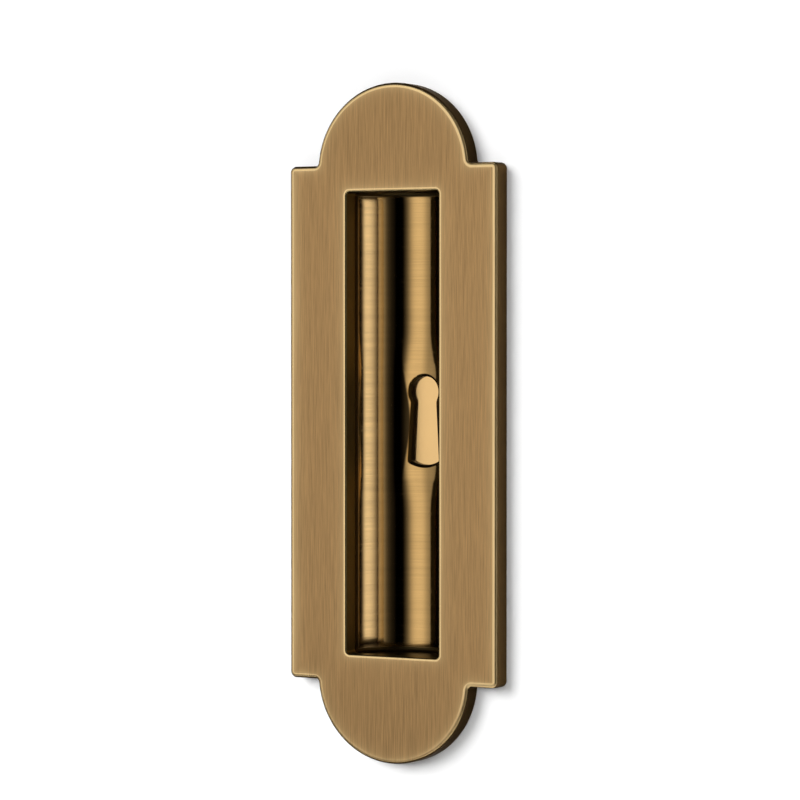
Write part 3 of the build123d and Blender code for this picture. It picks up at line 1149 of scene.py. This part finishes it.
class PlateOperator(bpy.types.Operator):
    """Adds the stepped face plate with its arched ends and its opening"""

    bl_idname = "flush_pull.face_plate"
    bl_label = "Face plate"

    def execute(self, context):
        plate = settings().plate
        piece = plate_surface(plate)
        dress(piece, face_brass(plate))
        place_piece(piece, "face_brass", "face_plate")
        return {"FINISHED"}


class PocketOperator(bpy.types.Operator):
    """Adds the half-round finger pocket with its keyhole, flange and boss"""

    bl_idname = "flush_pull.pocket"
    bl_label = "Pocket"

    def execute(self, context):
        group = settings()
        piece = pocket_surface(group.plate, group.pocket, group.keyhole)
        dress(piece, pocket_brass(group.plate, group.pocket))
        place_piece(piece, "pocket_brass", "pocket")
        return {"FINISHED"}


class BackingOperator(bpy.types.Operator):
    """Gives the plate behind the keyhole its satin brass"""

    bl_idname = "flush_pull.keyhole_backing"
    bl_label = "Keyhole backing"

    def execute(self, context):
        key = settings().keyhole
        finish = satin_metal("backing_brass", key.backing_colour, key.backing_roughness)
        dress(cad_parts["keyhole_backing"], finish)
        return {"FINISHED"}


class ScrewOperator(bpy.types.Operator):
    """Gives the slotted screws their brass"""

    bl_idname = "flush_pull.screws"
    bl_label = "Screws"

    def execute(self, context):
        fixing = settings().fixing
        finish = satin_metal("screw_brass", fixing.screw_colour, fixing.screw_roughness)
        for node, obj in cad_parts.items():
            if "screw" in node:
                dress(obj, finish)
        return {"FINISHED"}


class StudOperator(bpy.types.Operator):
    """Adds the two threaded studs that pass through the door"""

    bl_idname = "flush_pull.fixing_studs"
    bl_label = "Fixing studs"

    def execute(self, context):
        fixing = settings().fixing
        finish = satin_metal("stud_steel", fixing.steel_colour, fixing.steel_roughness)
        for node in ("fixing_stud_top", "fixing_stud_bottom"):
            piece = stud_surface(node, fixing)
            dress(piece, finish)
            place_piece(piece, "stud_steel", node)
        return {"FINISHED"}


def heading(azimuth, elevation):
    """Unit vector from the object towards a place to the right of and above its front."""
    level = math.cos(elevation)
    return Vector((math.sin(azimuth) * level, -math.cos(azimuth) * level, math.sin(elevation)))


def aim(obj, target, direction, distance):
    """Puts a lamp or camera at a distance in a direction from the target, looking at it."""
    obj.location = target + direction * distance
    obj.rotation_mode = "QUATERNION"
    obj.rotation_quaternion = (-direction).to_track_quat("-Z", "Y")


def staged(name, vertices, faces, material):
    """Mesh that belongs to the stage."""
    mesh = bpy.data.meshes.new(name)
    mesh.from_pydata(vertices, [], faces)
    obj = bpy.data.objects.new(name, mesh)
    bpy.context.collection.objects.link(obj)
    dress(obj, material)
    return obj


def pale_paint(name, tint, one_sided):
    """Matt pale surface, which is clear from behind if it is one-sided."""
    material, make = new_recipe(name)
    surface = make.node("ShaderNodeBsdfDiffuse", None, {"Color": rgba(tint)}).outputs[0]
    if one_sided:
        clear = make.node("ShaderNodeBsdfTransparent").outputs[0]
        behind = make.node("ShaderNodeNewGeometry").outputs["Backfacing"]
        surface = make.node("ShaderNodeMixShader", None, {0: behind, 1: surface, 2: clear}).outputs[0]
    make.output(surface)
    return material


def door_wall(plate):
    """Wall just behind the plate, as a ring from a little inside the plate's outline out to a
    rectangle: each point goes outwards from the middle until it meets the rectangle."""
    outline, _ = plate_outlines(plate)
    inner = outline - HOLE_INSET * outward(outline)
    reach = WALL_REACH / np.abs(inner).max(axis=1)
    outer = inner * reach[:, None]
    outer[:, 1] = np.maximum(outer[:, 1], FLOOR_Z)
    count = len(inner)
    vertices = np.concatenate([lifted(outer, WALL_GAP), lifted(inner, WALL_GAP)]).tolist()
    faces = [(k, count + k, count + (k + 1) % count, (k + 1) % count) for k in range(count)]
    return staged("door_wall", vertices, faces, pale_paint("wall_paint", WALL_PAINT, True))


def floor():
    """Pale floor below the object."""
    corners = ((-1.0, -1.0), (1.0, -1.0), (1.0, 1.0), (-1.0, 1.0))
    vertices = [(FLOOR_REACH * x, FLOOR_REACH * y, FLOOR_Z) for x, y in corners]
    return staged("floor", vertices, [(0, 1, 2, 3)], pale_paint("floor_paint", FLOOR_PAINT, False))


def light_tent(stage):
    """Half a globe in front of the wall, seen only by reflections: a point of it at azimuth a and
    elevation e is radius (sin a cos e, -cos a cos e, sin e)."""
    azimuths, elevations = np.linspace(-90.0, 90.0, 61), np.linspace(-TENT_TOP, TENT_TOP, 41)
    azimuth, elevation = np.meshgrid(np.radians(azimuths), np.radians(elevations))
    level = np.cos(elevation)
    points = np.stack([np.sin(azimuth) * level, -np.cos(azimuth) * level, np.sin(elevation)], axis=-1)
    index = np.arange(points.shape[0] * points.shape[1]).reshape(points.shape[:2])
    quads = np.stack([index[:-1, :-1], index[1:, :-1], index[1:, 1:], index[:-1, 1:]], axis=-1)
    vertices = (TENT_RADIUS * points).reshape(-1, 3).tolist()
    tent = staged("light_tent", vertices, quads.reshape(-1, 4).tolist(), tent_glow(stage))
    tent.visible_camera = False
    tent.visible_diffuse = False
    tent.visible_shadow = False


def tent_glow(stage):
    """Light of the tent: its level by azimuth, faded towards top and bottom."""
    material, make = new_recipe("tent_glow")
    _, (x, y, z) = make.place()
    azimuth = make.maths("ARCTAN2", x, -y) / math.pi + 0.5
    stops = [(degrees / 180.0 + 0.5, level) for degrees, level in TENT_LEVELS]
    by_azimuth = make.value("ShaderNodeValToRGB", {"stops": stops}, {0: azimuth})
    height = z / TENT_RADIUS
    lit = height.ramp(*TENT_FADE_UP) * height.ramp(*TENT_FADE_DOWN)
    level = by_azimuth * (TENT_EDGE_LEVEL + (1.0 - TENT_EDGE_LEVEL) * lit) * stage.tent_level
    glow = make.node("ShaderNodeEmission", None, {"Strength": level})
    make.output(glow.outputs[0])
    return material


def wall_sun(name, strength, spread, azimuth, elevation, receivers):
    """Soft sun that lights only the wall and the floor; its angles are in degrees."""
    light = bpy.data.lights.new(name, "SUN")
    light.energy = strength
    light.angle = math.radians(spread)
    sun = bpy.data.objects.new(name, light)
    bpy.context.collection.objects.link(sun)
    aim(sun, Vector(), heading(math.radians(azimuth), math.radians(elevation)), 1.0)
    sun.light_linking.receiver_collection = receivers


def room(stage):
    """World that is white where it is seen or mirrored and dim as a lamp."""
    world = bpy.data.worlds.new("room")
    bpy.context.scene.world = world
    make = Recipe(world)
    path = make.node("ShaderNodeLightPath")
    kinds = ("Is Camera Ray", "Is Glossy Ray", "Is Transmission Ray")
    camera, glossy, transmission = (Signal(make, path.outputs[kind]) for kind in kinds)
    seen = camera.most(glossy).most(transmission)
    level = stage.ambient + (1.0 - stage.ambient) * seen
    background = make.node("ShaderNodeBackground", None, {"Strength": level})
    make.node("ShaderNodeOutputWorld", None, {"Surface": background.outputs[0]})


class StageOperator(bpy.types.Operator):
    """Adds the camera, the lights, the door's wall and the floor"""

    bl_idname = "flush_pull.stage"
    bl_label = "Stage"

    def execute(self, context):
        stage = settings().stage
        view = bpy.data.cameras.new("camera")
        view.sensor_width = 36.0
        view.lens = stage.lens
        view.clip_start = 0.01
        camera = bpy.data.objects.new("camera", view)
        bpy.context.collection.objects.link(camera)
        target = Vector((stage.target_x, PLATE_LOW.y, stage.target_z))
        aim(camera, target, heading(stage.azimuth, stage.elevation), stage.distance)
        bpy.context.scene.camera = camera
        bpy.context.scene.view_settings.view_transform = "Standard"
        room(stage)
        receivers = bpy.data.collections.new("wall_and_floor")
        for obj in (door_wall(settings().plate), floor()):
            receivers.objects.link(obj)
        light_tent(stage)
        wall_sun("wall_sun", stage.wall_sun, *WALL_SUN, receivers)
        wall_sun("fill_sun", stage.fill_sun, *FILL_SUN, receivers)
        return {"FINISHED"}


class FlushPullPanel(bpy.types.Panel):
    """Lists the operators and the settings in the sidebar"""

    bl_idname = "VIEW3D_PT_flush_pull"
    bl_label = "Flush Pull"
    bl_space_type = "VIEW_3D"
    bl_region_type = "UI"
    bl_category = "Flush Pull"

    def draw(self, context):
        group = settings()
        for operator in OPERATORS:
            self.layout.operator(operator.bl_idname)
        for name in group.bl_rna.properties.keys():
            part = getattr(group, name)
            if isinstance(part, bpy.types.PropertyGroup):
                box = self.layout.box()
                box.label(text=name.capitalize())
                for key in part.bl_rna.properties.keys():
                    if key not in ("rna_type", "name"):
                        box.prop(part, key)


OPERATORS = (
    PlateOperator,
    PocketOperator,
    BackingOperator,
    ScrewOperator,
    StudOperator,
    StageOperator,
)
GROUPS = (
    PlateSettings,
    PocketSettings,
    KeyholeSettings,
    FixingSettings,
    StageSettings,
    FlushPullSettings,
)
CLASSES = (*GROUPS, *OPERATORS, FlushPullPanel)


def register():
    """Registers the classes and the scene's settings."""
    for cls in CLASSES:
        bpy.utils.register_class(cls)
    bpy.types.Scene.flush_pull = PointerProperty(type=FlushPullSettings)


def unregister():
    """Takes away what register has added."""
    del bpy.types.Scene.flush_pull
    for cls in reversed(CLASSES):
        bpy.utils.unregister_class(cls)


def main():
    register()
    bpy.ops.flush_pull.face_plate()
    bpy.ops.flush_pull.pocket()
    bpy.ops.flush_pull.keyhole_backing()
    bpy.ops.flush_pull.screws()
    bpy.ops.flush_pull.fixing_studs()
    bpy.ops.flush_pull.stage()


if __name__ == "__main__":
    main()
